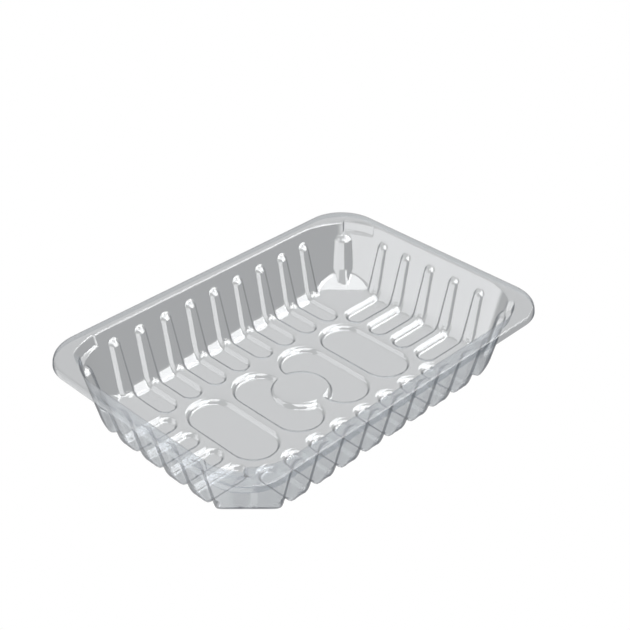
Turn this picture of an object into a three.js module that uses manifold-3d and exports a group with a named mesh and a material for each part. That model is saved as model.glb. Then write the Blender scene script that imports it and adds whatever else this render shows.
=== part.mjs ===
// A clear thermoformed food tray, one sheet of plastic pressed into one solid.
// Millimetres, +Z up, X along the length. The origin is under the middle, on the surface it stands on.
// Levels are given as depths below the top of the rim, and the sheet is the difference of two
// solids: the hollow of the tray grown by the sheet's thickness, less the hollow itself.

import * as THREE from 'three';
import { mergeVertices } from 'three/addons/utils/BufferGeometryUtils.js';
import Module from 'manifold-3d';

const wasm = await Module();
wasm.setup();

// ---- driving dimensions ----

const HEIGHT = 43;            // rim top above the surface the tray stands on
const SHEET = 0.5;            // thickness of the plastic

const RIM_HALF_X = 115;       // outer edge of the rim
const RIM_HALF_Y = 80.8;
const RIM_CORNER = 24.5;
const LIP_DEPTH = 3.8;        // the rim's edge turns down by this much
const LIP_FLARE = 0.9;        // and leans out by this much
const LIP_BEND = 0.6;         // rounding between the rim's top and its lip

const MOUTH_HALF_X = 108.5;   // inner edge of the rim, where the walls start
const MOUTH_HALF_Y = 72.7;
const MOUTH_CORNER = 34;
const MOUTH_BEVEL = 0.8;      // rounding between the rim's top and the walls
const DRAFT = Math.tan(THREE.MathUtils.degToRad(13));   // lean of the walls, the same all round

const CREASE_DEPTH = 36.9;    // where the wall breaks into the base bevel
const BEVEL = 0.6;            // how far the bevel runs in for each unit it drops
const WEB_DEPTH = 39.3;       // the raised part of the floor
const PAD_DEPTH = HEIGHT - SHEET;   // the sunken parts of the floor stand on the table
const SHOULDER = 1.0;         // width and height of the rounding at the top of a sunken part
const TOE = 0.3;              // the smaller rounding at its foot
const STEEP = 0.45;           // how far the steep side between them leans

const FACET_SUM = 139.6;      // edge of a 45 degree corner facet at web level: |x| + |y|

const WALL_RIB = {
  top: 7.4,                   // depth at which a rib starts
  dome: 3.4,                  // height of its rounded top
  wide: { top: 3.0, foot: 4.3 },    // half width
  deep: { top: 2.8, foot: 3.3 },    // how far it stands in from the wall
  turn: 35.0,                 // depth at which its face starts to curve into the floor
  kick: 2.2,                  // how far that curve runs in
};
const LONG_WALL_RIBS = { count: 9, pitch: 17.85 };
const SHORT_WALL_RIBS = { count: 5, pitch: 18.5 };
const CORNER_RIB = {
  top: 8.0,
  dome: 3.6,
  wide: { top: 4.1, foot: 5.1 },
  deep: { top: 3.2, foot: 3.2 },
  turn: 28,                   // depth at which its face breaks towards the facet
  end: 36.2,                  // depth at which it runs out on the facet
  tip: 2.2,                   // half width where it runs out
  trace: 0.05,                // how far it still stands out there
};

const CHANNEL_HALF = 5.1;     // half width of the floor channels between the ribs
const CHANNEL_END_X = 68.5;   // distance of their round ends from the middle, short walls
const CHANNEL_END_Y = 35.8;   // and long walls

const OUTER_PAD = { x: 50.7, halfWidth: 12.8, halfLength: 28.9 };
const INNER_PAD = { x: 17.6, halfWidth: 13.4, halfLength: 28.9 };
const BOSS_RADIUS = 16.7;     // raised disc in the middle of the floor

const LUG_DEPTH = 6.5;        // stacking recess at the top of each corner
const LUG_OUT = { diagonal: 3.2, end: 1.2 };    // how far it is pressed out of the wall
const LUG_SWEEP = 32;         // degrees, clockwise from the corner's diagonal

const CORNER_STEPS = 8;       // flats of a quarter round on the walls
const RIB_STEPS = 5;          // flats of a rib's half oval
const CHANNEL_STEPS = 6;      // flats of a channel's half round end
const PAD_STEPS = 12;         // flats of a pad's half round end
const BOSS_STEPS = 32;
const LUG_STEPS = 4;
const DOME_ANGLES = [90, 50, 15];    // levels of a rib's rounded top, from its foot up
const BEYOND = 12;            // how far a cutting solid reaches past a wall
const BELOW = 2;              // how far one reaches under the floor
const OVER = 1;               // how far one reaches past any other face
const SAME_POINT = 1e-5;      // points closer than this are one

// ---- helpers ----

const { lerp, degToRad } = THREE.MathUtils;

/** Turns a closed geometry into a solid that can be joined and cut. */
function solid(geometry) {
  const merged = mergeVertices(geometry, SAME_POINT);
  return new wasm.Manifold(new wasm.Mesh({
    numProp: 3,
    vertProperties: new Float32Array(merged.attributes.position.array),
    triVerts: new Uint32Array(merged.index.array),
  }));
}

/** A solid through convex anticlockwise outlines, each { depth, outline }, the deepest first. */
function loft(sections) {
  const size = sections[0].outline.length;
  const top = (sections.length - 1) * size;
  const positions = [];
  const index = [];
  for (const { depth, outline } of sections) {
    for (const point of outline) positions.push(point.x, point.y, HEIGHT - depth);
  }
  for (let start = 0; start < top; start += size) {
    for (let i = 0; i < size; i += 1) {
      const a = start + i;
      const b = start + (i + 1) % size;
      index.push(a, b, b + size, a, b + size, a + size);
    }
  }
  for (let i = 1; i + 1 < size; i += 1) {
    index.push(0, i + 1, i);
    index.push(top, top + i, top + i + 1);
  }
  const geometry = new THREE.BufferGeometry();
  geometry.setAttribute('position', new THREE.Float32BufferAttribute(positions, 3));
  geometry.setIndex(index);
  return solid(geometry);
}

const joined = (solids) => solids.reduce((all, next) => all.add(next));
const without = (body, solids) => solids.reduce((left, next) => left.subtract(next), body);

/** Anticlockwise arc of points, angles in degrees. */
function arc(centreX, centreY, radiusX, radiusY, from, to, steps) {
  return Array.from({ length: steps + 1 }, (_, i) => {
    const angle = degToRad(lerp(from, to, i / steps));
    return new THREE.Vector2(centreX + radiusX * Math.cos(angle), centreY + radiusY * Math.sin(angle));
  });
}

function roundedRectangle(halfX, halfY, radius) {
  const x = halfX - radius;
  const y = halfY - radius;
  return [
    ...arc(x, y, radius, radius, 0, 90, CORNER_STEPS),
    ...arc(-x, y, radius, radius, 90, 180, CORNER_STEPS),
    ...arc(-x, -y, radius, radius, 180, 270, CORNER_STEPS),
    ...arc(x, -y, radius, radius, 270, 360, CORNER_STEPS),
  ];
}

/** The same sections turned about the origin, then shifted. */
function placed(sections, degrees, x = 0, y = 0) {
  const origin = new THREE.Vector2(0, 0);
  const shift = new THREE.Vector2(x, y);
  const move = (point) => point.clone().rotateAround(origin, degToRad(degrees)).add(shift);
  return sections.map(({ depth, outline }) => ({ depth, outline: outline.map(move) }));
}

/** Centres of a row of equally spaced things. */
function row({ count, pitch }) {
  return Array.from({ length: count }, (_, i) => (i - (count - 1) / 2) * pitch);
}

/** The row of gaps between them. */
function gaps({ count, pitch }) {
  return row({ count: count - 1, pitch });
}

/** The four walls: the turn from the +X wall, its half length from the middle, its ribs and channels. */
const WALLS = [
  { degrees: 0, mouth: MOUTH_HALF_X, ribs: SHORT_WALL_RIBS, channelEnd: CHANNEL_END_X },
  { degrees: 90, mouth: MOUTH_HALF_Y, ribs: LONG_WALL_RIBS, channelEnd: CHANNEL_END_Y },
  { degrees: 180, mouth: MOUTH_HALF_X, ribs: SHORT_WALL_RIBS, channelEnd: CHANNEL_END_X },
  { degrees: 270, mouth: MOUTH_HALF_Y, ribs: LONG_WALL_RIBS, channelEnd: CHANNEL_END_Y },
];

/** The four corners: the direction of the diagonal, and the axis of the corner's cone. */
const CORNERS = [[1, 1], [-1, 1], [-1, -1], [1, -1]].map(([signX, signY], i) => ({
  degrees: 45 + 90 * i,
  x: signX * (MOUTH_HALF_X - MOUTH_CORNER),
  y: signY * (MOUTH_HALF_Y - MOUTH_CORNER),
}));

const bevelOffset = (grow) => grow * Math.hypot(1, BEVEL);
const wallInset = (depth) => depth * DRAFT;
const cornerWall = (depth) => MOUTH_CORNER - wallInset(depth);
const cornerAxisSum = MOUTH_HALF_X + MOUTH_HALF_Y - 2 * MOUTH_CORNER;
const cornerFacet = (depth) => (FACET_SUM - cornerAxisSum) / Math.SQRT2 + WEB_DEPTH - depth;

// ---- pieces of the hollow; grow is 0 for the inner face and SHEET for the outer face ----

/** The plain hollow: drafted walls and a bevel down to the web. */
function basin(grow) {
  const level = (depth, out) => {
    const inset = wallInset(depth) - out;
    return {
      depth,
      outline: roundedRectangle(MOUTH_HALF_X - inset, MOUTH_HALF_Y - inset, MOUTH_CORNER - inset),
    };
  };
  const slack = (bevelOffset(grow) - grow) / (BEVEL - DRAFT);
  const run = BEVEL * (WEB_DEPTH + grow - CREASE_DEPTH);
  const foot = level(CREASE_DEPTH, bevelOffset(grow) - run);
  const mouth = grow > 0
    ? [level(SHEET / 2, grow)]
    : [level(MOUTH_BEVEL, 0), level(0, MOUTH_BEVEL), level(-OVER, MOUTH_BEVEL)];
  return loft([
    { depth: WEB_DEPTH + grow, outline: foot.outline },
    level(CREASE_DEPTH + slack, grow),
    ...mouth,
  ]);
}

/** Levels of a sunken floor part, each with how far its outline lies outside the steep side's middle. */
function sunkenLevels(grow) {
  return [
    { depth: PAD_DEPTH + grow, out: -STEEP / 2 - TOE + grow / 2 },
    { depth: WEB_DEPTH + SHOULDER + grow / 2, out: STEEP / 2 + grow },
    { depth: WEB_DEPTH + grow, out: STEEP / 2 + SHOULDER + grow / 2 },
    { depth: CREASE_DEPTH, out: STEEP / 2 + SHOULDER + grow / 2 },
  ];
}

/** A floor channel: a round end on the floor, running out to the base bevel of its wall. */
function channel(grow, { degrees, mouth, channelEnd }, along) {
  const creaseAt = mouth - wallInset(CREASE_DEPTH) + bevelOffset(grow);
  const sections = sunkenLevels(grow).map(({ depth, out }) => {
    const half = CHANNEL_HALF + out;
    const reach = creaseAt - BEVEL * (depth - CREASE_DEPTH);
    return {
      depth,
      outline: [
        new THREE.Vector2(reach, along - half),
        new THREE.Vector2(reach, along + half),
        ...arc(channelEnd + CHANNEL_HALF, along, half, half, 90, 270, CHANNEL_STEPS),
      ],
    };
  });
  return loft(placed(sections, degrees));
}

/** A sunken pad with half round ends, its length along Y. */
function pad(grow, x, { halfWidth, halfLength }) {
  const straight = halfLength - halfWidth;
  return loft(sunkenLevels(grow).map(({ depth, out }) => {
    const radius = halfWidth + out;
    return {
      depth,
      outline: [
        ...arc(x, straight, radius, radius, 0, 180, PAD_STEPS),
        ...arc(x, -straight, radius, radius, 180, 360, PAD_STEPS),
      ],
    };
  }));
}

/** The raised disc, which the two inner pads run round. */
function boss(grow) {
  const ring = (depth, out) => {
    const radius = BOSS_RADIUS + out - grow / 2;
    return { depth, outline: arc(0, 0, radius, radius, 0, 360, BOSS_STEPS).slice(0, BOSS_STEPS) };
  };
  return loft([
    ring(PAD_DEPTH + grow + OVER, STEEP / 2 + TOE),
    ring(PAD_DEPTH + grow, STEEP / 2 + TOE),
    ring(WEB_DEPTH + grow + SHOULDER, -STEEP / 2),
    ring(WEB_DEPTH + grow, -STEEP / 2 - SHOULDER),
  ]);
}

/** A stacking recess: a sector pressed out of the top of a corner, with a flat ledge under it. */
function lug(grow, { degrees, x, y }) {
  const edge = THREE.MathUtils.radToDeg(grow / MOUTH_CORNER);
  const from = degrees - LUG_SWEEP - edge;
  const to = degrees + edge;
  const spoke = (angle, radius) => new THREE.Vector2(radius, 0)
    .rotateAround(new THREE.Vector2(), degToRad(angle));
  const outline = Array.from({ length: LUG_STEPS + 1 }, (_, i) => {
    const out = lerp(LUG_OUT.end, LUG_OUT.diagonal, i / LUG_STEPS);
    return spoke(lerp(from, to, i / LUG_STEPS), MOUTH_CORNER + out + grow);
  });
  outline.push(spoke(to, MOUTH_CORNER - BEYOND), spoke(from, MOUTH_CORNER - BEYOND));
  const top = grow > 0 ? SHEET / 2 : -OVER;
  return loft(placed([{ depth: LUG_DEPTH + grow, outline }, { depth: top, outline }], 0, x, y));
}

/** What a corner facet cuts off the hollow. */
function facetCut(grow, { degrees, x, y }) {
  const section = (depth) => {
    const near = cornerFacet(depth) + grow * Math.SQRT2;
    const far = MOUTH_CORNER + BEYOND;
    return {
      depth,
      outline: [
        new THREE.Vector2(near, -far),
        new THREE.Vector2(far, -far),
        new THREE.Vector2(far, far),
        new THREE.Vector2(near, far),
      ],
    };
  };
  return loft(placed([section(PAD_DEPTH + BELOW), section(WEB_DEPTH - BEYOND)], degrees, x, y));
}

/** Outline of a rib at one depth: a half oval standing in from the wall, open outwards. */
function ribOutline(wall, wide, deep) {
  return [
    new THREE.Vector2(wall + BEYOND, -wide),
    new THREE.Vector2(wall + BEYOND, wide),
    ...arc(wall, 0, deep, wide, 90, 270, RIB_STEPS),
  ];
}

/** The rounded top of a rib, from under the dome up to a small point. */
function ribDome(grow, { top, dome, wide, deep }, wallAt) {
  return DOME_ANGLES.map((angle) => {
    const size = Math.sin(degToRad(angle));
    const depth = top + grow + dome * (1 - Math.cos(degToRad(angle)));
    return { depth, outline: ribOutline(wallAt(depth), (wide.top - grow) * size, (deep.top - grow) * size) };
  });
}

/** A rib of a straight wall, with its foot curving into the web. */
function wallRib(grow, { degrees, mouth }, along) {
  const { wide, deep, turn, kick } = WALL_RIB;
  const wallAt = (depth) => mouth - wallInset(Math.min(depth, CREASE_DEPTH));
  const foot = (depth, out) => ({
    depth,
    outline: ribOutline(wallAt(depth), wide.foot - grow, deep.foot - grow + out),
  });
  const sections = [
    foot(PAD_DEPTH + BELOW, kick),
    foot(WEB_DEPTH + grow, kick),
    foot(turn, 0),
    ...ribDome(grow, WALL_RIB, wallAt),
  ];
  const moved = sections.map(({ depth, outline }) => ({
    depth,
    outline: outline.map((point) => new THREE.Vector2(point.x, point.y + along)),
  }));
  return loft(placed(moved, degrees));
}

/** The rib on a corner's diagonal, which runs out on the facet below it. */
function cornerRib(grow, { degrees, x, y }) {
  const { wide, deep, turn, end, tip, trace } = CORNER_RIB;
  const last = cornerFacet(end) + grow * Math.SQRT2;
  const sections = [
    { depth: end, outline: ribOutline(last, tip - grow, trace) },
    { depth: turn, outline: ribOutline(cornerWall(turn), wide.foot - grow, deep.foot - grow) },
    ...ribDome(grow, CORNER_RIB, cornerWall),
  ];
  return loft(placed(sections, degrees, x, y));
}

/** The hollow of the tray, grown outwards. */
function hollow(grow) {
  const pads = joined([
    pad(grow, -OUTER_PAD.x, OUTER_PAD),
    pad(grow, OUTER_PAD.x, OUTER_PAD),
    without(joined([pad(grow, -INNER_PAD.x, INNER_PAD), pad(grow, INNER_PAD.x, INNER_PAD)]), [boss(grow)]),
  ]);
  const channels = WALLS.flatMap((wall) => gaps(wall.ribs).map((along) => channel(grow, wall, along)));
  const lugs = CORNERS.map((corner) => lug(grow, corner));
  const wallRibs = WALLS.flatMap((wall) => row(wall.ribs).map((along) => wallRib(grow, wall, along)));
  const cornerRibs = CORNERS.map((corner) => cornerRib(grow, corner));
  const facets = CORNERS.map((corner) => facetCut(grow, corner));
  return without(joined([basin(grow), pads, ...channels, ...lugs]), [...facets, ...wallRibs, ...cornerRibs]);
}

/** The rim as a shallow upturned lid over the whole mouth, before the hollow is cut out. */
function rimLid() {
  const ring = (depth, out) => ({
    depth,
    outline: roundedRectangle(RIM_HALF_X + out, RIM_HALF_Y + out, RIM_CORNER + out),
  });
  const outside = loft([
    ring(LIP_DEPTH, 0),
    ring(LIP_BEND, -LIP_FLARE),
    ring(0, -LIP_FLARE - LIP_BEND),
  ]);
  const inside = loft([
    ring(LIP_DEPTH + OVER, -SHEET + LIP_FLARE / LIP_DEPTH),
    ring(LIP_BEND + SHEET / 2, -LIP_FLARE - SHEET),
    ring(SHEET, -LIP_FLARE - LIP_BEND - SHEET / 2),
  ]);
  return outside.subtract(inside);
}

// ---- the tray ----

const { vertProperties, triVerts } = rimLid().add(hollow(SHEET)).subtract(hollow(0)).getMesh();

const geometry = new THREE.BufferGeometry();
geometry.setAttribute('position', new THREE.BufferAttribute(vertProperties, 3));
geometry.setIndex(new THREE.BufferAttribute(triVerts, 1));

const clearPlastic = new THREE.MeshStandardMaterial({
  color: 0xc9cdd1,
  roughness: 0.15,
  metalness: 0,
  transparent: true,
  opacity: 0.5,
});

const tray = new THREE.Mesh(geometry, clearPlastic);
tray.name = 'tray';

const model = new THREE.Group();
model.add(tray);

export default model;
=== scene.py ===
"""A clear thermoformed food tray: one smooth formed sheet in a pale studio.

Lengths named in capitals are millimetres, as in the part's source. Depths are measured down from
the top of the rim. The sheet's upper face is the edge of the air above it: hollow() says how far a
point is from that edge, and each mesh point slides along its own ray until it lands there.
"""

import math

import bpy
import numpy as np
from mathutils import Matrix, Vector, kdtree
from mathutils.geometry import delaunay_2d_cdt

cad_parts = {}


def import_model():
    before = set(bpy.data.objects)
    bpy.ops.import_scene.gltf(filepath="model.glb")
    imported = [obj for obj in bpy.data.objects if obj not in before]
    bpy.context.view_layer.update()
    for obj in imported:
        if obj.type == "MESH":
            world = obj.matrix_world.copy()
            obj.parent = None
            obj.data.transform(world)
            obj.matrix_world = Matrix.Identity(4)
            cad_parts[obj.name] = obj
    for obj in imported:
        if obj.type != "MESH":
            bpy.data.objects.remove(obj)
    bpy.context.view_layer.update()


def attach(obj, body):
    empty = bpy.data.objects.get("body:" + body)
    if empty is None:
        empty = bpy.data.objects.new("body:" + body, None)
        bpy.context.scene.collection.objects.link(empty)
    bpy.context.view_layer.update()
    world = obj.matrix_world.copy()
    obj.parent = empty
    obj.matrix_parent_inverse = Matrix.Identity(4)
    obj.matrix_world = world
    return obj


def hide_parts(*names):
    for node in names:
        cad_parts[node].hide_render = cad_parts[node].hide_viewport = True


MM = 0.001

# ---- the tray's sizes, the same as the solid's ----

HEIGHT = 43.0
SHEET = 0.45
RIM_HALF = (115.0, 80.8)
RIM_CORNER = 24.5
LIP_DEPTH = 3.8
LIP_FLARE = 0.9
MOUTH_HALF = (108.5, 72.7)
MOUTH_CORNER = 34.0
DRAFT = math.tan(math.radians(13.0))
CREASE_DEPTH = 36.9
BEVEL = 0.6
WEB_DEPTH = 39.3
PAD_DEPTH = 42.5
FACET_SUM = 139.6

RIB_TOP = 7.4
RIB_DOME = 3.4
RIB_WIDE = (3.0, 4.3)
RIB_DEEP = (2.8, 3.3)
RIB_TURN = 35.0
RIB_KICK = 2.2
KICK_TURN = 0.98
LONG_PITCH = 17.85
LONG_RIBS = 9
SHORT_PITCH = 18.5
SHORT_RIBS = 5

CORNER_RIB_TOP = 8.0
CORNER_RIB_DOME = 3.6
CORNER_RIB_WIDE = (4.1, 5.1)
CORNER_RIB_DEEP = 3.2
CORNER_RIB_TURN = 28.0
CORNER_RIB_END = 36.6
CORNER_RIB_TIP = 2.2
CORNER_RIB_TRACE = 0.1
CORNER_RIB_FADE = 3.0

CHANNEL_HALF = 5.1
CHANNEL_END = (68.5, 35.8)
PAD_HALF_LENGTH = 28.9
OUTER_PAD_X = 50.7
OUTER_PAD_HALF = 12.8
INNER_PAD_X = 17.6
INNER_PAD_HALF = 13.4
BOSS_RADIUS = 16.7

LUG_DEPTH = 6.5
LUG_OUT = (3.2, 1.2)
LUG_SWEEP = 32.0

# ---- roundings, which the solid has as flats ----

CREASE_ROUND = 1.2
FOOT_ROUND = 1.8
SHOULDER_ROUND = 3.4
TOE_ROUND = 0.8
SIDE_LEAN = 0.22
RIB_ROUND = 1.3
FACET_ROUND = 0.7
BOSS_ROUND = 0.8
MOUTH_ROUND = 1.1
LIP_ROUND = 0.8
LUG_ROUND = 0.45

CORE = (MOUTH_HALF[0] - MOUTH_CORNER, MOUTH_HALF[1] - MOUTH_CORNER)
RIM_CORE = (RIM_HALF[0] - RIM_CORNER, RIM_HALF[1] - RIM_CORNER)
ROOT2 = math.sqrt(2.0)
FACET_CORNER = FACET_SUM - CORE[0] - CORE[1]
FACET_REACH = FACET_CORNER / ROOT2
CORNERS = ((1, 1), (-1, 1), (-1, -1), (1, -1))


# ---- the shape of the air above the sheet ----


def smooth_min(a, b, size):
    """The lesser of two distances, rounded where they meet."""
    blend = np.maximum(size - np.abs(a - b), 0.0) / size
    return np.minimum(a, b) - blend * blend * size * 0.25


def smooth_max(a, b, size):
    return -smooth_min(-a, -b, size)


def step(value, half):
    """0 below -half, 1 above half, smooth between."""
    t = np.clip((value + half) / (2.0 * half), 0.0, 1.0)
    return t * t * (3.0 - 2.0 * t)


def mix(pair, t):
    return pair[0] + (pair[1] - pair[0]) * t


def core_distance(x, y, core):
    """Signed distance from a rectangle about the middle."""
    qx = np.abs(x) - core[0]
    qy = np.abs(y) - core[1]
    outside = np.hypot(np.maximum(qx, 0.0), np.maximum(qy, 0.0))
    return outside + np.minimum(np.maximum(qx, qy), 0.0)


def folded(value, pitch, count):
    """Distance along a row from its nearest member."""
    last = (count - 1) / 2.0
    index = np.clip(np.round(value / pitch + last), 0, count - 1) - last
    return value - index * pitch


def lug_out(x, y, rho, depth):
    """How far a stacking recess presses the corner's wall outwards, at a distance rho from the core."""
    angle = np.arctan2(y - np.sign(y) * CORE[1], x - np.sign(x) * CORE[0])
    diagonal = np.arctan2(np.sign(y), np.sign(x))
    turn = np.degrees((diagonal - angle + math.pi) % (2.0 * math.pi) - math.pi)
    along = np.radians(turn) * np.maximum(rho, 1.0)
    full = math.radians(LUG_SWEEP) * np.maximum(rho, 1.0)
    in_corner = (np.abs(x) > CORE[0]) & (np.abs(y) > CORE[1])
    window = step(along, LUG_ROUND) * step(full - along, LUG_ROUND) * step(LUG_DEPTH - depth, LUG_ROUND)
    return np.where(in_corner, mix(LUG_OUT, np.clip(turn / LUG_SWEEP, 0.0, 1.0)) * window, 0.0)


def ellipsoid(a, b, c, radius_a, radius_b, radius_c):
    """Near enough the signed distance from an ellipsoid about the origin."""
    reach = np.sqrt((a / radius_a) ** 2 + (b / radius_b) ** 2 + (c / radius_c) ** 2)
    slope = np.sqrt((a / radius_a**2) ** 2 + (b / radius_b**2) ** 2 + (c / radius_c**2) ** 2)
    return (reach - 1.0) * np.maximum(reach, 1e-6) / np.maximum(slope, 1e-6)


def rib_sizes(depth):
    """Half width and depth of a straight wall's rib at a depth."""
    t = np.clip((depth - RIB_TOP) / (RIB_TURN - RIB_TOP), 0.0, 1.0)
    turn = np.clip((depth - RIB_TURN) / (WEB_DEPTH - RIB_TURN), 0.0, 1.0)
    kick = RIB_KICK * (1.0 - np.sqrt(1.0 - KICK_TURN * turn * turn))
    return mix(RIB_WIDE, t), mix(RIB_DEEP, t) + kick


def wall_ribs(across, along, depth, mouth, pitch, count):
    """Distance from the nearest rib of one pair of straight walls."""
    wall = mouth - DRAFT * np.minimum(depth, CREASE_DEPTH)
    wide, deep = rib_sizes(depth)
    inward = np.maximum(wall - np.abs(across), 0.0)
    above = np.maximum(RIB_TOP + RIB_DOME - depth, 0.0)
    return ellipsoid(inward, folded(along, pitch, count), above, deep, wide, RIB_DOME)


def facet_edge(depth):
    """Distance of a corner facet from the corner's centre, along the diagonal."""
    return FACET_REACH + WEB_DEPTH - depth


def corner_rib_sizes(depth):
    """Where a corner rib stands on its diagonal, its depth and its half width."""
    t = np.clip((depth - CORNER_RIB_TOP) / (CORNER_RIB_TURN - CORNER_RIB_TOP), 0.0, 1.0)
    low = np.clip((depth - CORNER_RIB_TURN) / (CORNER_RIB_END - CORNER_RIB_TURN), 0.0, 1.0)
    stand = MOUTH_CORNER - DRAFT * np.minimum(depth, CORNER_RIB_TURN)
    stand = stand + (facet_edge(CORNER_RIB_END) - stand) * low
    deep = CORNER_RIB_DEEP + (CORNER_RIB_TRACE - CORNER_RIB_DEEP) * low
    wide = mix(CORNER_RIB_WIDE, t)
    return stand, deep, wide + (CORNER_RIB_TIP - wide) * low


def corner_ribs(x, y, depth):
    """Distance from the nearest corner rib, which fades out below its end."""
    ax = np.abs(x) - CORE[0]
    ay = np.abs(y) - CORE[1]
    stand, deep, wide = corner_rib_sizes(depth)
    inward = np.maximum(stand - (ax + ay) / ROOT2, 0.0)
    above = np.maximum(CORNER_RIB_TOP + CORNER_RIB_DOME - depth, 0.0)
    rib = ellipsoid(inward, (ax - ay) / ROOT2, above, deep, wide, CORNER_RIB_DOME)
    return rib + CORNER_RIB_FADE * np.maximum(depth - CORNER_RIB_END, 0.0)


def channel(across, along, end, pitch, count):
    """Plan distance from the nearest floor channel of one pair of walls."""
    out = np.minimum(np.abs(across) - end - CHANNEL_HALF, 0.0)
    return np.hypot(out, folded(along, pitch, count)) - CHANNEL_HALF


def long_pad(x, y, centre, half):
    """Plan distance from a pair of long pads with round ends."""
    straight = PAD_HALF_LENGTH - half
    return np.hypot(np.abs(x) - centre, np.maximum(np.abs(y) - straight, 0.0)) - half


def sunken_plan(x, y):
    """Plan distance from the floor's sunken parts, negative inside them."""
    inner = long_pad(x, y, INNER_PAD_X, INNER_PAD_HALF)
    inner = smooth_max(inner, BOSS_RADIUS - np.hypot(x, y), BOSS_ROUND)
    outer = long_pad(x, y, OUTER_PAD_X, OUTER_PAD_HALF)
    short = channel(x, y, CHANNEL_END[0], SHORT_PITCH, SHORT_RIBS - 1)
    long = channel(y, x, CHANNEL_END[1], LONG_PITCH, LONG_RIBS - 1)
    return np.minimum(np.minimum(inner, outer), np.minimum(short, long))


def hollow(x, y, depth):
    """Distance from the hollow of the tray, negative inside it."""
    rho = core_distance(x, y, CORE)
    wall = rho - MOUTH_CORNER - lug_out(x, y, rho, depth) + DRAFT * depth
    wall = wall / math.hypot(1.0, DRAFT)
    crease = MOUTH_CORNER - DRAFT * CREASE_DEPTH
    bevel = (rho - crease + BEVEL * (depth - CREASE_DEPTH)) / math.hypot(1.0, BEVEL)
    shell = smooth_max(wall, bevel, CREASE_ROUND)
    middle = (WEB_DEPTH + PAD_DEPTH) / 2.0
    side = (sunken_plan(x, y) + SIDE_LEAN * (depth - middle)) / math.hypot(1.0, SIDE_LEAN)
    sunken = smooth_max(side, depth - PAD_DEPTH, TOE_ROUND)
    floor = smooth_min(depth - WEB_DEPTH, sunken, SHOULDER_ROUND)
    body = smooth_max(shell, floor, FOOT_ROUND)
    facet = (np.abs(x) + np.abs(y) - FACET_SUM) / ROOT2 + depth - WEB_DEPTH
    body = smooth_max(body, facet / ROOT2, FACET_ROUND)
    short = wall_ribs(x, y, depth, MOUTH_HALF[0], SHORT_PITCH, SHORT_RIBS)
    long = wall_ribs(y, x, depth, MOUTH_HALF[1], LONG_PITCH, LONG_RIBS)
    body = smooth_max(body, -np.minimum(short, long), RIB_ROUND)
    return smooth_max(body, -corner_ribs(x, y, depth), RIB_ROUND)


def air(x, y, depth):
    """Distance from the air that the sheet's upper face meets, negative inside it."""
    over = smooth_min(hollow(x, y, depth), depth, MOUTH_ROUND)
    lean = LIP_FLARE * np.clip(1.0 - depth / LIP_DEPTH, 0.0, 1.0) ** 2
    beyond = -(core_distance(x, y, RIM_CORE) - RIM_CORNER + lean)
    return smooth_min(over, beyond, LIP_ROUND)


# ---- the flat map that the sheet is meshed on ----
# A point of the map is a place on the tray's plan, stretched outwards from the core rectangle so
# that the walls and the rim lie flat too. A SPAN is the width of a zone of the map and an END the
# radius where it stops, from the core outwards: floor, foot, wall, mouth, flange, lip. The rays of
# the foot fan out from a pivot, and REACH is how far along its ray a point may land.

PIVOT_RHO = 14.0
PIVOT_DEPTH = 27.0
FOOT_SPAN = 22.0
MOUTH_START = 3.0
FLOOR_END = PIVOT_RHO
FOOT_END = FLOOR_END + FOOT_SPAN
WALL_END = FOOT_END + PIVOT_DEPTH - MOUTH_START
MOUTH_SPAN = 6.0
MOUTH_END = WALL_END + MOUTH_SPAN
FLANGE_SPAN = 5.0
FLANGE_END = MOUTH_END + FLANGE_SPAN
LIP_SPAN = 6.0
LIP_END = FLANGE_END + LIP_SPAN
FOOT_DISTANCE = 13.0
TURN_RUN = 1.6
REACH = 9.0
REACH_MARKS = 37
REACH_HALVINGS = 18
RIM_SEARCH = 40.0
RIM_HALVINGS = 40


def map_radius(rho, depth):
    """Map radius of a place on the floor, foot or wall."""
    if depth < PIVOT_DEPTH:
        return FOOT_END + PIVOT_DEPTH - depth
    if rho < PIVOT_RHO:
        return rho
    angle = math.atan2(rho - PIVOT_RHO, depth - PIVOT_DEPTH)
    return FLOOR_END + FOOT_SPAN * angle / (math.pi / 2.0)


def rim_outline(cx, cy, nx, ny, inset):
    """Distance from the core, along each direction, of the rim's outline set in by inset."""
    low = np.full(cx.shape, MOUTH_CORNER)
    high = np.full(cx.shape, MOUTH_CORNER + RIM_SEARCH)
    for _ in range(RIM_HALVINGS):
        middle = (low + high) / 2.0
        out = core_distance(cx + nx * middle, cy + ny * middle, RIM_CORE) - RIM_CORNER + inset > 0.0
        high = np.where(out, middle, high)
        low = np.where(out, low, middle)
    return (low + high) / 2.0


def foot_rays(radius):
    """Distance from the core, depth and lean of the rays of the foot."""
    angle = (radius - FLOOR_END) / FOOT_SPAN * math.pi / 2.0
    return PIVOT_RHO + FOOT_DISTANCE * np.sin(angle), PIVOT_DEPTH + FOOT_DISTANCE * np.cos(angle), angle


def wall_rays(radius):
    """The rays of the wall are level."""
    depth = PIVOT_DEPTH - (radius - FOOT_END)
    return MOUTH_CORNER - DRAFT * depth, depth, math.pi / 2.0


def mouth_rays(radius):
    """The rays swing from level to upright as they pass the rounding at the top of the wall."""
    t = (radius - WALL_END) / MOUTH_SPAN
    up = np.clip(t * 2.0, 0.0, 1.0)
    out = np.clip(t * 2.0 - 1.0, 0.0, 1.0)
    depth = MOUTH_START * (1.0 - up)
    angle = math.pi / 2.0 * (1.0 - step(t - 0.5, 0.5))
    return MOUTH_CORNER - DRAFT * depth + out * TURN_RUN, depth, angle


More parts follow.
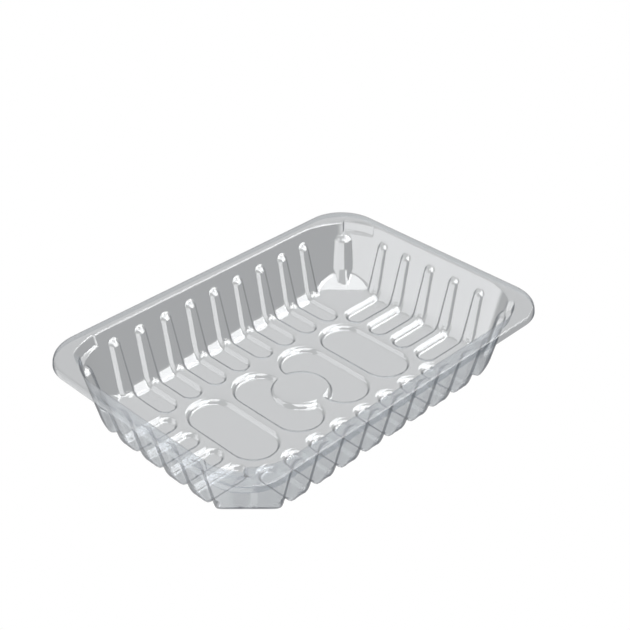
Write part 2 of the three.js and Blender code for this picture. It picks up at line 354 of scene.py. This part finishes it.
def lip_rays(radius, edge):
    """The rays swing from upright to level as they pass over the rim's edge and down its lip."""
    t = np.clip((radius - FLANGE_END) / LIP_SPAN, 0.0, 1.0)
    over = np.clip(t * 3.0, 0.0, 1.0)
    down = np.clip(t * 1.5 - 0.5, 0.0, 1.0)
    angle = -math.pi / 2.0 * step(t * 1.6 - 0.8, 0.8)
    return edge + TURN_RUN * over + LIP_FLARE * down, LIP_DEPTH * down, angle


def rays(points):
    """For each map point, a place near the sheet (x, y, depth) and the direction to search in."""
    x, y = points[:, 0], points[:, 1]
    cx = np.clip(x, -CORE[0], CORE[0])
    cy = np.clip(y, -CORE[1], CORE[1])
    radius = np.hypot(x - cx, y - cy)
    safe = np.maximum(radius, 1e-9)
    nx, ny = (x - cx) / safe, (y - cy) / safe
    floor = radius <= FLOOR_END
    foot = ~floor & (radius <= FOOT_END)
    wall = (radius > FOOT_END) & (radius <= WALL_END)
    mouth = (radius > WALL_END) & (radius <= MOUTH_END)
    flange = (radius > MOUTH_END) & (radius <= FLANGE_END)
    lip = radius > FLANGE_END

    rho = np.array(radius)
    depth = np.full(radius.shape, WEB_DEPTH)
    angle = np.zeros(radius.shape)
    rho[foot], depth[foot], angle[foot] = foot_rays(radius[foot])
    rho[wall], depth[wall], angle[wall] = wall_rays(radius[wall])
    rho[mouth], depth[mouth], angle[mouth] = mouth_rays(radius[mouth])
    depth[flange] = 0.0

    stand = np.full(radius.shape, MOUTH_CORNER)
    lug = lug_out(cx + nx * stand, cy + ny * stand, stand, depth)
    rho[wall | mouth] += lug[wall | mouth]
    edge = rim_outline(cx, cy, nx, ny, LIP_FLARE + TURN_RUN)
    inner = MOUTH_CORNER + TURN_RUN + lug[flange]
    t = (radius[flange] - MOUTH_END) / FLANGE_SPAN
    rho[flange] = inner + (edge[flange] - inner) * t
    rho[lip], depth[lip], angle[lip] = lip_rays(radius[lip], edge[lip])

    px = np.where(floor, x, cx + nx * rho)
    py = np.where(floor, y, cy + ny * rho)
    direction = np.stack([nx * np.sin(angle), ny * np.sin(angle), np.cos(angle)], axis=1)
    return np.stack([px, py, depth], axis=1), direction


def air_at(points):
    return air(points[:, 0], points[:, 1], points[:, 2])


def landed(points, direction):
    """Each point moved along its direction to where the air ends, and whether it got there."""
    count = len(points)
    low = np.full(count, -REACH)
    best = np.zeros(count)
    found = np.zeros(count, dtype=bool)
    marks = np.linspace(-REACH, REACH, REACH_MARKS)
    before = air_at(points + direction * marks[0])
    for start, end in zip(marks[:-1], marks[1:]):
        after = air_at(points + direction * end)
        hit = (before < 0.0) & (after >= 0.0) & ~found
        low[hit] = start
        best[hit] = end
        found |= hit
        before = after
    high = np.where(found, best, low)
    for _ in range(REACH_HALVINGS):
        middle = (low + high) / 2.0
        outside = air_at(points + direction * middle[:, None]) >= 0.0
        high = np.where(outside, middle, high)
        low = np.where(outside, low, middle)
    return points + direction * ((low + high) / 2.0)[:, None], found


NORMAL_STEP = 0.04


def normals_of(points):
    """Unit directions from the sheet into the air."""
    slope = []
    for axis in range(3):
        shift = np.zeros(3)
        shift[axis] = NORMAL_STEP
        slope.append(air_at(points - shift) - air_at(points + shift))
    slope = np.stack(slope, axis=1)
    return slope / np.linalg.norm(slope, axis=1)[:, None]


# ---- lines of mesh points that follow the features ----


class FlatMap:
    """Points and the edges between them, on the flat map."""

    def __init__(self):
        self.points = []
        self.edges = []

    def line(self, points, closed=False):
        first = len(self.points)
        self.points.extend(points)
        last = len(self.points) - 1
        self.edges.extend((i, i + 1) for i in range(first, last))
        if closed:
            self.edges.append((last, first))


def arc_points(centre, radius, start, end, count):
    angles = np.radians(np.linspace(start, end, count))
    return [(centre[0] + radius * math.cos(a), centre[1] + radius * math.sin(a)) for a in angles]


def spread(start, end, gap):
    return np.linspace(start, end, max(2, int(math.ceil(abs(end - start) / gap)) + 1))


def beside(wall, radius, along):
    """Map place off one of the core's four sides, which are counted from +X towards +Y."""
    across = CORE[wall % 2] + radius
    return ((across, along), (along, across), (-across, along), (along, -across))[wall]


def on_wall(wall, along, rho, depth):
    """Map place of a point on a straight wall or the floor before it."""
    return beside(wall, map_radius(rho, depth), along)


def off_corner(corner, radius, turn):
    """Map place off one of the core's corners."""
    return corner[0] * CORE[0] + radius * math.cos(turn), corner[1] * CORE[1] + radius * math.sin(turn)


def nominal_rho(depth):
    """Distance from the core of the bare wall and bevel."""
    if depth <= CREASE_DEPTH:
        return MOUTH_CORNER - DRAFT * depth
    return MOUTH_CORNER - DRAFT * CREASE_DEPTH - BEVEL * (depth - CREASE_DEPTH)


# Lines round a rib lie at these shares of its half width. Rows are steps down the wall.
RIB_LINES = (0.45, 0.76, 0.92, 1.02, 1.12, 1.28, 1.55)
WALL_ROW = 2.2
FOOT_ROW = 0.6
FACET_ROW = 1.2
BREAK_ROW = 0.4
DOME_POINTS = 13
CORNER_DOME_POINTS = 15


def rib_lines(flat, wall, centre):
    """Nested arches round one rib of a straight wall."""
    dome = RIB_TOP + RIB_DOME
    rows = [*np.arange(dome + 0.9, RIB_TURN, WALL_ROW)]
    rows += [*np.arange(RIB_TURN + 0.2, WEB_DEPTH + 0.4, FOOT_ROW)]
    for scale in RIB_LINES:
        left, right = [], []
        for depth in rows:
            wide = rib_sizes(depth)[0] * scale
            left.append(on_wall(wall, centre - wide, nominal_rho(depth), depth))
            right.append(on_wall(wall, centre + wide, nominal_rho(depth), depth))
        over = []
        for angle in np.radians(np.linspace(180.0, 0.0, DOME_POINTS)):
            depth = dome - RIB_DOME * scale * math.sin(angle)
            along = centre + RIB_WIDE[0] * scale * math.cos(angle)
            over.append(on_wall(wall, along, nominal_rho(depth), depth))
        flat.line(left[::-1] + over + right)
    flat.line([on_wall(wall, centre, nominal_rho(depth), depth) for depth in [dome, *rows]])


def corner_place(corner, along, depth):
    """Map place beside a corner's diagonal, along being the distance from it."""
    stand = nominal_rho(depth)
    angle = math.atan2(along, math.sqrt(max(stand * stand - along * along, 1.0)))
    facet = facet_edge(depth)
    rho = min(stand, facet / max(math.cos(angle), 0.3))
    return off_corner(corner, map_radius(rho, depth), math.atan2(corner[1], corner[0]) + angle)


def corner_rib_lines(flat, corner):
    """Nested arches round one corner's rib, down to its end on the facet."""
    dome = CORNER_RIB_TOP + CORNER_RIB_DOME
    rows = [*np.arange(dome + 1.0, CORNER_RIB_TURN - 0.6, WALL_ROW)]
    rows += [CORNER_RIB_TURN - BREAK_ROW, CORNER_RIB_TURN, CORNER_RIB_TURN + BREAK_ROW]
    rows += [*np.arange(CORNER_RIB_TURN + 1.6, CORNER_RIB_END - 0.3, FACET_ROW), CORNER_RIB_END]
    for scale in RIB_LINES:
        left, right = [], []
        for depth in rows:
            wide = float(corner_rib_sizes(depth)[2]) * scale
            left.append(corner_place(corner, -wide, depth))
            right.append(corner_place(corner, wide, depth))
        over = []
        for angle in np.radians(np.linspace(180.0, 0.0, CORNER_DOME_POINTS)):
            depth = dome - CORNER_RIB_DOME * scale * math.sin(angle)
            over.append(corner_place(corner, CORNER_RIB_WIDE[0] * scale * math.cos(angle), depth))
        flat.line(left[::-1] + over + right)
    flat.line([corner_place(corner, 0.0, depth) for depth in [dome, *rows]])


FACET_ARCH_LINES = (-1.4, -0.7, -0.3, 0.0, 0.3, 0.8)
FACET_ARCH_SWEEP = 43.0
FACET_ARCH_POINTS = 44
FACET_FOOT_LINES = (-1.2, -0.5, -0.15, 0.2, 0.6, 1.4)
FACET_FOOT_HALF = 17.5
FACET_FOOT_POINTS = 30


def facet_arch_lines(flat, corner):
    """Lines along the arch in which a facet meets the wall."""
    diagonal = math.atan2(corner[1], corner[0])
    for offset in FACET_ARCH_LINES:
        line = []
        for degrees in np.linspace(-FACET_ARCH_SWEEP, FACET_ARCH_SWEEP, FACET_ARCH_POINTS):
            angle = math.radians(degrees)
            spokes = ROOT2 * math.cos(angle)
            depth = WEB_DEPTH - (MOUTH_CORNER * spokes - FACET_CORNER) / ROOT2
            depth = depth / (1.0 - DRAFT * spokes / ROOT2) + offset
            if depth > CREASE_DEPTH + 1.5:
                continue
            line.append(off_corner(corner, map_radius(nominal_rho(depth), depth), diagonal + angle))
        flat.line(line)


def facet_foot_lines(flat, corner):
    """Lines along a facet's foot on the floor."""
    diagonal = math.atan2(corner[1], corner[0])
    for offset in FACET_FOOT_LINES:
        reach = FACET_REACH + offset
        depth = WEB_DEPTH - max(offset, 0.0)
        line = []
        for along in np.linspace(-FACET_FOOT_HALF, FACET_FOOT_HALF, FACET_FOOT_POINTS):
            radius = map_radius(math.hypot(reach, along), depth)
            line.append(off_corner(corner, radius, diagonal + math.atan2(along, reach)))
        flat.line(line)


# Lines along a sunken part's side lie at these offsets from the middle of its slope, outwards. Those
# inside SIDE_FOOT are at the pads' level, and the others at the web's.
SIDE_LINES = (-1.5, -0.75, -0.35, -0.12, 0.12, 0.4, 0.8, 1.4, 2.2, 3.0)
SIDE_FOOT = -0.2
CHANNEL_STEP = 1.6
CHANNEL_BEND_POINTS = 13
BED_ROWS = (1.0, 5.0, 9.0)
BED_COLUMNS = (-2.4, 0.0, 2.4)
PAD_STEP = 2.0
PAD_BEND_POINTS = 25
BOSS_SWEEP = 355.0
BOSS_POINTS = 72


def side_depth(offset):
    """Depth on a sunken part's side, at an offset from its middle line."""
    return PAD_DEPTH if offset < SIDE_FOOT else WEB_DEPTH


def channel_lines(flat, wall, centre):
    """Nested hairpins round one floor channel, up to the crease, and short rows on its bed."""
    end = CHANNEL_END[wall % 2] + CHANNEL_HALF - CORE[wall % 2]
    for offset in SIDE_LINES:
        half = CHANNEL_HALF + offset
        depth = side_depth(offset)
        foot = nominal_rho(depth)
        one, other = [], []
        for rho in spread(end, foot, CHANNEL_STEP):
            one.append(on_wall(wall, centre + half, rho, depth))
            other.append(on_wall(wall, centre - half, rho, depth))
        for up in np.linspace(depth, CREASE_DEPTH, 4)[1:]:
            one.append(on_wall(wall, centre + half, nominal_rho(up), up))
            other.append(on_wall(wall, centre - half, nominal_rho(up), up))
        bend = []
        for angle in np.radians(np.linspace(90.0, 270.0, CHANNEL_BEND_POINTS))[1:-1]:
            rho = end + half * math.cos(angle)
            bend.append(on_wall(wall, centre + half * math.sin(angle), rho, depth))
        flat.line(one[::-1] + bend + other)
    foot = nominal_rho(PAD_DEPTH)
    for rho in [*(end + row for row in BED_ROWS), foot - 0.8, foot]:
        flat.line([on_wall(wall, centre + along, rho, PAD_DEPTH) for along in BED_COLUMNS])


def pad_lines(flat):
    """Rings round the four pads and the boss."""
    for centre, half in ((OUTER_PAD_X, OUTER_PAD_HALF), (INNER_PAD_X, INNER_PAD_HALF)):
        straight = PAD_HALF_LENGTH - half
        for sign in (-1.0, 1.0):
            for offset in SIDE_LINES:
                radius = half + offset
                right = [(sign * centre + radius, y) for y in spread(-straight, straight, PAD_STEP)]
                left = [(sign * centre - radius, y) for y in spread(straight, -straight, PAD_STEP)]
                top = arc_points((sign * centre, straight), radius, 0.0, 180.0, PAD_BEND_POINTS)[1:-1]
                bottom = arc_points((sign * centre, -straight), radius, 180.0, 360.0, PAD_BEND_POINTS)[1:-1]
                flat.line(right + top + left + bottom, closed=True)
    for offset in SIDE_LINES:
        ring = arc_points((0.0, 0.0), BOSS_RADIUS - offset, 0.0, BOSS_SWEEP, BOSS_POINTS)
        flat.line(ring, closed=True)


# depths of the rings along the crease and the wall, and distances of the others past a zone's start
CREASE_RINGS = (36.1, 36.6, 37.0, 37.4, 37.9)
WALL_RINGS = (24.0, 19.0, 14.0, 9.0)
MOUTH_RINGS = (0.0, 1.4, 2.2, 2.7, 3.1, 3.6, 4.5)
FLANGE_RINGS = (0.0, 2.5, 5.0)
LIP_RINGS = (0.6, 1.2, 1.7, 2.2, 2.8, 4.0, 6.0)
CREASE_GAP = 1.8
RING_GAP = 3.5
CORNER_POINTS = 41


def perimeter(radius, gap):
    """A ring of map points at a distance from the core, a corner and the side after it at a time."""
    ring = []
    for index, corner in enumerate(CORNERS):
        start = 90.0 * index
        centre = (corner[0] * CORE[0], corner[1] * CORE[1])
        ring.extend(arc_points(centre, radius, start, start + 90.0, CORNER_POINTS))
        wall = (index + 1) % 4
        way = -1.0 if index < 2 else 1.0
        half = CORE[1 - wall % 2]
        ring.extend(beside(wall, radius, way * along) for along in spread(-half, half, gap)[1:-1])
    return ring


def ring_lines(flat):
    """Rings along the crease, the wall, the mouth, the flange and the lip."""
    for depth in CREASE_RINGS:
        flat.line(perimeter(map_radius(nominal_rho(depth), depth), CREASE_GAP), closed=True)
    radii = [FOOT_END + PIVOT_DEPTH - depth for depth in WALL_RINGS]
    radii += [WALL_END + past for past in MOUTH_RINGS]
    radii += [MOUTH_END + past for past in FLANGE_RINGS]
    radii += [FLANGE_END + past for past in LIP_RINGS]
    for radius in radii:
        flat.line(perimeter(radius, RING_GAP), closed=True)


LUG_COLUMNS = (-0.9, -0.5, -0.3, -0.1, 0.1, 0.3, 0.5, 0.9)
LUG_COLUMN_STEP = 0.9
LUG_ROWS = (-0.8, -0.45, -0.25, 0.0, 0.25, 0.45, 0.8)
LUG_ROW_PAST = 1.5
LUG_ROW_POINTS = 28


def lug_lines(flat, corner):
    """Fine columns at a stacking recess's ends and fine rows at its ledge."""
    diagonal = math.degrees(math.atan2(corner[1], corner[0]))
    low = WALL_END - (LUG_DEPTH + 1.2 - MOUTH_START)
    for end in (0.0, -LUG_SWEEP):
        for away in LUG_COLUMNS:
            turn = math.radians(diagonal + end) + away / MOUTH_CORNER
            reaches = spread(low, FLANGE_END - 0.4, LUG_COLUMN_STEP)
            flat.line([off_corner(corner, radius, turn) for radius in reaches])
    centre = (corner[0] * CORE[0], corner[1] * CORE[1])
    start, end = diagonal - LUG_SWEEP - LUG_ROW_PAST, diagonal + LUG_ROW_PAST
    for away in LUG_ROWS:
        radius = WALL_END - (LUG_DEPTH + away - MOUTH_START)
        flat.line(arc_points(centre, radius, start, end, LUG_ROW_POINTS))


FILL_GAP = 3.5
FILL_CLEAR = 1.7
FILL_ROW = 0.866


def filler(flat):
    """A loose grid of triangles over what the lines leave bare."""
    tree = kdtree.KDTree(len(flat.points))
    for index, (x, y) in enumerate(flat.points):
        tree.insert((x, y, 0.0), index)
    tree.balance()
    extra = []
    rows = np.arange(-CORE[1] - LIP_END, CORE[1] + LIP_END, FILL_GAP * FILL_ROW)
    for number, y in enumerate(rows):
        shift = FILL_GAP / 2.0 if number % 2 else 0.0
        for x in np.arange(-CORE[0] - LIP_END + shift, CORE[0] + LIP_END, FILL_GAP):
            if float(core_distance(x, y, CORE)) > WALL_END - 0.5:
                continue
            if tree.find((x, y, 0.0))[2] > FILL_CLEAR:
                extra.append((x, y))
    flat.points.extend(extra)


def flat_map():
    """All the lines and the grid, on the flat map."""
    flat = FlatMap()
    for wall in range(4):
        pitch, count = (SHORT_PITCH, SHORT_RIBS) if wall % 2 == 0 else (LONG_PITCH, LONG_RIBS)
        for index in range(count):
            rib_lines(flat, wall, (index - (count - 1) / 2.0) * pitch)
        for index in range(count - 1):
            channel_lines(flat, wall, (index - (count - 2) / 2.0) * pitch)
    for corner in CORNERS:
        corner_rib_lines(flat, corner)
        facet_arch_lines(flat, corner)
        facet_foot_lines(flat, corner)
        lug_lines(flat, corner)
    pad_lines(flat)
    ring_lines(flat)
    filler(flat)
    return flat


SAME_PLACE = 1e-3


def border_edges(triangles):
    """Edges that only one triangle has, in its own direction."""
    sides = {}
    for a, b, c in triangles:
        for edge in ((a, b), (b, c), (c, a)):
            sides[edge] = True
    return [(a, b) for a, b in sides if (b, a) not in sides]


def sheet_mesh():
    """The formed sheet: its upper face, the same face set back by its thickness, and its cut edge."""
    flat = flat_map()
    result = delaunay_2d_cdt([Vector(p) for p in flat.points], flat.edges, [], 0, SAME_PLACE)
    places = np.array([(v.x, v.y) for v in result[0]])
    triangles = [tuple(face) for face in result[2]]
    top, found = landed(*rays(places))
    count = len(top)
    print("sheet points", count, "not landed", int((~found).sum()))
    outward = normals_of(top)
    faces = list(triangles)
    faces += [(c + count, b + count, a + count) for a, b, c in triangles]
    faces += [(b, a, a + count, b + count) for a, b in border_edges(triangles)]
    points = np.concatenate([top, top - outward * SHEET])
    points[:, 2] = HEIGHT - points[:, 2]
    normals = np.concatenate([outward, -outward])
    normals[:, 2] *= -1.0
    return points * MM, faces, normals


def formed_sheet():
    """The tray's one piece, with its true normals."""
    points, faces, normals = sheet_mesh()
    mesh = bpy.data.meshes.new("formed_sheet")
    mesh.from_pydata(points.tolist(), [], faces)
    mesh.update()
    mesh.shade_smooth()
    mesh.normals_split_custom_set_from_vertices(normals.tolist())
    piece = bpy.data.objects.new("formed_sheet", mesh)
    bpy.context.collection.objects.link(piece)
    return piece


# ---- material, light and camera ----


def link_math(tree, operation, first, second):
    """A Math node fed by numbers or by other nodes' outputs."""
    node = tree.nodes.new("ShaderNodeMath")
    node.operation = operation
    for socket, value in zip(node.inputs, (first, second)):
        if isinstance(value, (int, float)):
            socket.default_value = value
        else:
            tree.links.new(value, socket)
    return node.outputs["Value"]


def ramp(tree, value, start, end, low=0.0, high=1.0):
    """A value mapped smoothly from start..end onto low..high."""
    node = tree.nodes.new("ShaderNodeMapRange")
    node.interpolation_type = "SMOOTHSTEP"
    node.inputs["From Min"].default_value = start
    node.inputs["From Max"].default_value = end
    node.inputs["To Min"].default_value = low
    node.inputs["To Max"].default_value = high
    tree.links.new(value, node.inputs["Value"])
    return node.outputs["Result"]


# The sheet's tint is PLASTIC_TINT seen square on and EDGE_TINT seen edge on, and SLANT is the range
# in which it turns. MIRROR values are shares of the light that a face mirrors. The rim mirrors less,
# by LIP_MIRROR and FLANGE_MIRROR. LIP_START and LIP_FULL are distances from the rim's core. Waves and
# haze have a SCALE for each metre, and WAVE_HEIGHT is in metres.
PLASTIC_TINT = (0.91, 0.92, 0.93, 1.0)
EDGE_TINT = (0.5, 0.52, 0.55, 1.0)
SLANT = (0.6, 0.95)
PLASTIC_ROUGHNESS = (0.02, 0.06)
MIRROR_FACING = 0.05
MIRROR_POWER = 3.6
MIRROR_GRAZING = 0.18
LIP_START = RIM_CORNER - 2.2
LIP_FULL = RIM_CORNER - 1.0
LIP_MIRROR = 0.5
FLANGE_LEVEL = (HEIGHT - 1.3, HEIGHT - 0.7)
FLANGE_MIRROR = 0.7
WAVE_SCALE = 55.0
WAVE_STRENGTH = 0.12
WAVE_HEIGHT = 0.00004
HAZE_SCALE = 18.0
NOISE_DETAIL = 2.0
HAZE_RANGE = (0.3, 0.7)


def vector_math(tree, operation, first, second=None):
    """A Vector Math node fed by another node's output and by a fixed vector."""
    node = tree.nodes.new("ShaderNodeVectorMath")
    node.operation = operation
    tree.links.new(first, node.inputs[0])
    if second is not None:
        node.inputs[1].default_value = second
    return node


def rim_share(tree, place):
    """1 over the tray, less on its flat rim and least on the turned down edge."""
    split = tree.nodes.new("ShaderNodeSeparateXYZ")
    tree.links.new(place, split.inputs[0])
    low, high = FLANGE_LEVEL
    flange = ramp(tree, split.outputs["Z"], low * MM, high * MM, 1.0, FLANGE_MIRROR)
    beyond = vector_math(tree, "ABSOLUTE", place).outputs["Vector"]
    core = (RIM_CORE[0] * MM, RIM_CORE[1] * MM, 1.0)
    beyond = vector_math(tree, "SUBTRACT", beyond, core).outputs["Vector"]
    beyond = vector_math(tree, "MAXIMUM", beyond, (0.0, 0.0, 0.0)).outputs["Vector"]
    reach = vector_math(tree, "LENGTH", beyond).outputs["Value"]
    lip = ramp(tree, reach, LIP_START * MM, LIP_FULL * MM, 1.0, LIP_MIRROR)
    return link_math(tree, "MULTIPLY", flange, lip)


def slant(tree):
    """0 where a face is seen square on, 1 edge on. It is the same from both sides."""
    weight = tree.nodes.new("ShaderNodeLayerWeight")
    weight.inputs["Blend"].default_value = 0.5
    return weight.outputs["Facing"]


def slanted_tint(tree):
    """The sheet's tint, deeper where it is looked through at a slant."""
    blend = tree.nodes.new("ShaderNodeMix")
    blend.data_type = "RGBA"
    tree.links.new(ramp(tree, slant(tree), *SLANT), blend.inputs["Factor"])
    blend.inputs["A"].default_value = PLASTIC_TINT
    blend.inputs["B"].default_value = EDGE_TINT
    return blend.outputs["Result"]


def mirror_share(tree, place):
    """How much a face mirrors, more where it is seen edge on."""
    grazing = link_math(tree, "POWER", slant(tree), MIRROR_POWER)
    share = link_math(tree, "ADD", link_math(tree, "MULTIPLY", grazing, MIRROR_GRAZING), MIRROR_FACING)
    return link_math(tree, "MULTIPLY", share, rim_share(tree, place))


def noise(tree, place, scale):
    node = tree.nodes.new("ShaderNodeTexNoise")
    node.inputs["Scale"].default_value = scale
    node.inputs["Detail"].default_value = NOISE_DETAIL
    tree.links.new(place, node.inputs["Vector"])
    return node.outputs["Fac"]


def formed_finish(tree, place, gloss):
    """The gloss of a formed sheet: patches a little duller than others, and a faint waviness."""
    haze = ramp(tree, noise(tree, place, HAZE_SCALE), *HAZE_RANGE, *PLASTIC_ROUGHNESS)
    tree.links.new(haze, gloss.inputs["Roughness"])
    bump = tree.nodes.new("ShaderNodeBump")
    bump.inputs["Strength"].default_value = WAVE_STRENGTH
    bump.inputs["Distance"].default_value = WAVE_HEIGHT
    tree.links.new(noise(tree, place, WAVE_SCALE), bump.inputs["Height"])
    tree.links.new(bump.outputs["Normal"], gloss.inputs["Normal"])


def clear_plastic():
    """A thin clear sheet: part mirror, and faintly tinted clear for the rest."""
    material = bpy.data.materials.new("clear_plastic")
    material.use_nodes = True
    tree = material.node_tree
    tree.nodes.clear()
    gloss = tree.nodes.new("ShaderNodeBsdfGlossy")
    gloss.inputs["Color"].default_value = (1.0, 1.0, 1.0, 1.0)
    place = tree.nodes.new("ShaderNodeTexCoord").outputs["Object"]
    formed_finish(tree, place, gloss)
    clear = tree.nodes.new("ShaderNodeBsdfTransparent")
    tree.links.new(slanted_tint(tree), clear.inputs["Color"])
    mixed = tree.nodes.new("ShaderNodeMixShader")
    output = tree.nodes.new("ShaderNodeOutputMaterial")
    tree.links.new(mirror_share(tree, place), mixed.inputs["Fac"])
    tree.links.new(clear.outputs["BSDF"], mixed.inputs[1])
    tree.links.new(gloss.outputs["BSDF"], mixed.inputs[2])
    tree.links.new(mixed.outputs["Shader"], output.inputs["Surface"])
    return material


def heading(azimuth, elevation):
    """Unit direction at an azimuth from +X towards +Y and an elevation, in degrees."""
    turn = math.radians(azimuth)
    rise = math.radians(elevation)
    return (math.cos(turn) * math.cos(rise), math.sin(turn) * math.cos(rise), math.sin(rise))


# name: azimuth, elevation, width and height in metres, radiance
SOFTBOXES = {
    "softbox_right": (-52.0, 30.0, 1.8, 1.4, 4.6),
    "softbox_high": (-8.0, 52.0, 1.3, 1.2, 4.2),
    "softbox_left": (142.0, 24.0, 1.0, 1.2, 2.0),
    "softbox_behind_camera": (-125.0, 58.0, 1.5, 1.3, 4.3),
    "softbox_front": (-96.0, 30.0, 1.0, 1.4, 4.6),
}
SOFTBOX_DISTANCE = 1.5


def softboxes():
    """Large soft lights that all face the tray."""
    for name, (azimuth, elevation, width, height, radiance) in SOFTBOXES.items():
        data = bpy.data.lights.new(name, "AREA")
        data.shape = "RECTANGLE"
        data.size = width
        data.size_y = height
        data.energy = radiance * math.pi * width * height
        light = bpy.data.objects.new(name, data)
        direction = Vector(heading(azimuth, elevation))
        light.location = direction * SOFTBOX_DISTANCE
        light.rotation_euler = direction.to_track_quat("Z", "Y").to_euler()
        bpy.context.collection.objects.link(light)


# Brightness of the backdrop, and painted shade: how much of it is taken off where it shows through the
# plastic.
BACKDROP = 1.0
PAINTED_SHADE = 0.5

# What is mirrored, by the height of the direction: a room above LOW_TOP, a dim band below it, and a
# table below LOW_BOTTOM. A panel has an azimuth, an elevation, a half angle, a soft edge, all in
# degrees, and a radiance.
LOW_TOP = 0.03
LOW_BOTTOM = -0.6
WORLD_EDGE = 0.05
ROOM = 1.1
TABLE = 0.35
CEILING_PANEL = (48.0, 48.0, 44.0, 5.0, 0.9)
TABLE_PANEL = (116.0, -55.0, 30.0, 8.0, 0.6)
BAND_PANEL = (170.0, -10.0, 62.0, 8.0, 3.5)
BAND_SIDE = (70.0, -10.0, 52.0, 8.0, 0.3)


def panel(tree, direction, azimuth, elevation, half_angle, edge, radiance):
    """A radiance within an angle of a direction, 0 outside it."""
    dot = vector_math(tree, "DOT_PRODUCT", direction, heading(azimuth, elevation))
    outer = math.cos(math.radians(half_angle + edge))
    inner = math.cos(math.radians(half_angle - edge))
    return ramp(tree, dot.outputs["Value"], outer, inner, 0.0, radiance)


def rising(tree, height, level, below, above):
    """One value below a level and another above it."""
    return ramp(tree, height, level - WORLD_EDGE, level + WORLD_EDGE, below, above)


def mirrored_world(tree, direction):
    """What the glossy sheet mirrors besides the softboxes: a pale room over a band lit from -X."""
    split = tree.nodes.new("ShaderNodeSeparateXYZ")
    tree.links.new(direction, split.inputs[0])
    height = split.outputs["Z"]
    total = rising(tree, height, LOW_TOP, 0.0, ROOM)
    total = link_math(tree, "ADD", total, panel(tree, direction, *CEILING_PANEL))
    total = link_math(tree, "ADD", total, rising(tree, height, LOW_BOTTOM, TABLE, 0.0))
    total = link_math(tree, "ADD", total, panel(tree, direction, *TABLE_PANEL))
    above = rising(tree, height, LOW_BOTTOM, 0.0, 1.0)
    band = link_math(tree, "MULTIPLY", rising(tree, height, LOW_TOP, 1.0, 0.0), above)
    brighter = link_math(
        tree, "MAXIMUM", panel(tree, direction, *BAND_PANEL), panel(tree, direction, *BAND_SIDE)
    )
    return link_math(tree, "ADD", total, link_math(tree, "MULTIPLY", band, brighter))


def backdrop_with_painted_shade(tree, path):
    """The white backdrop, with painted shade: dimmer wherever it is seen through the plastic."""
    # painted shade: behind one or more faces of the plastic the backdrop loses a fixed part of its
    # brightness
    through = link_math(tree, "GREATER_THAN", path.outputs["Transparent Depth"], 0.5)
    return link_math(tree, "SUBTRACT", BACKDROP, link_math(tree, "MULTIPLY", through, PAINTED_SHADE))


def studio_world():
    """Glossy rays meet the mirrored world, and the camera sees the backdrop, with painted shade where it is
    seen through the plastic.
    """
    world = bpy.data.worlds.new("studio")
    bpy.context.scene.world = world
    world.use_nodes = True
    tree = world.node_tree
    direction = tree.nodes.new("ShaderNodeTexCoord").outputs["Generated"]
    path = tree.nodes.new("ShaderNodeLightPath")
    mirrored = mirrored_world(tree, direction)
    mirrored = link_math(tree, "MULTIPLY", mirrored, path.outputs["Is Glossy Ray"])
    seen = backdrop_with_painted_shade(tree, path)
    seen = link_math(tree, "MULTIPLY", path.outputs["Is Camera Ray"], seen)
    background = tree.nodes["Background"]
    background.inputs["Color"].default_value = (1.0, 1.0, 1.0, 1.0)
    tree.links.new(link_math(tree, "ADD", mirrored, seen), background.inputs["Strength"])


# The floor's half width and its drop below the tray are in metres.
FLOOR_HALF = 3.0
FLOOR_DROP = 0.0002


def studio_floor():
    """A pale floor that glows, as a light table does, with painted shade where it is seen through the
    plastic.
    """
    corners = [(FLOOR_HALF * sign_x, FLOOR_HALF * sign_y, 0.0) for sign_x, sign_y in CORNERS]
    mesh = bpy.data.meshes.new("floor")
    mesh.from_pydata(corners, [], [(0, 1, 2, 3)])
    floor = bpy.data.objects.new("floor", mesh)
    floor.location.z = -FLOOR_DROP
    floor.visible_glossy = False
    bpy.context.collection.objects.link(floor)
    material = bpy.data.materials.new("floor")
    material.use_nodes = True
    tree = material.node_tree
    path = tree.nodes.new("ShaderNodeLightPath")
    shader = tree.nodes["Principled BSDF"]
    shader.inputs["Base Color"].default_value = (0.0, 0.0, 0.0, 1.0)
    shader.inputs["Specular IOR Level"].default_value = 0.0
    shader.inputs["Emission Color"].default_value = (1.0, 1.0, 1.0, 1.0)
    # painted shade: the floor's glow is dimmed where it is seen through the plastic
    tree.links.new(backdrop_with_painted_shade(tree, path), shader.inputs["Emission Strength"])
    mesh.materials.append(material)


# The camera's place is in metres. Its azimuth turns from +Y, and it looks down by its elevation.
CAMERA_PLACE = (-0.39129, -0.39913, 0.41886)
CAMERA_AZIMUTH = -45.2
CAMERA_ELEVATION = 33.37
FOCAL_PIXELS = 1263.95
IMAGE_PIXELS = 630.0
SENSOR_MM = 36.0


def camera():
    azimuth = math.radians(CAMERA_AZIMUTH)
    elevation = math.radians(CAMERA_ELEVATION)
    back = Vector((
        math.sin(azimuth) * math.cos(elevation),
        -math.cos(azimuth) * math.cos(elevation),
        math.sin(elevation),
    ))
    right = Vector((math.cos(azimuth), math.sin(azimuth), 0.0))
    data = bpy.data.cameras.new("camera")
    data.sensor_width = SENSOR_MM
    data.lens = SENSOR_MM * FOCAL_PIXELS / IMAGE_PIXELS
    viewer = bpy.data.objects.new("camera", data)
    turned = Matrix((right, back.cross(right), back)).transposed().to_4x4()
    viewer.matrix_world = Matrix.Translation(CAMERA_PLACE) @ turned
    bpy.context.collection.objects.link(viewer)
    bpy.context.scene.camera = viewer


# How many faces of the clear sheet a line of sight may pass.
CLEAR_LAYERS = 32


def main():
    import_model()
    camera()
    piece = formed_sheet()
    piece.data.materials.append(clear_plastic())
    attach(piece, "root")
    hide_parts("tray")
    piece.visible_glossy = False
    studio_world()
    studio_floor()
    softboxes()
    bpy.context.scene.cycles.transparent_max_bounces = CLEAR_LAYERS
    bpy.context.scene.view_settings.view_transform = "Standard"


main()
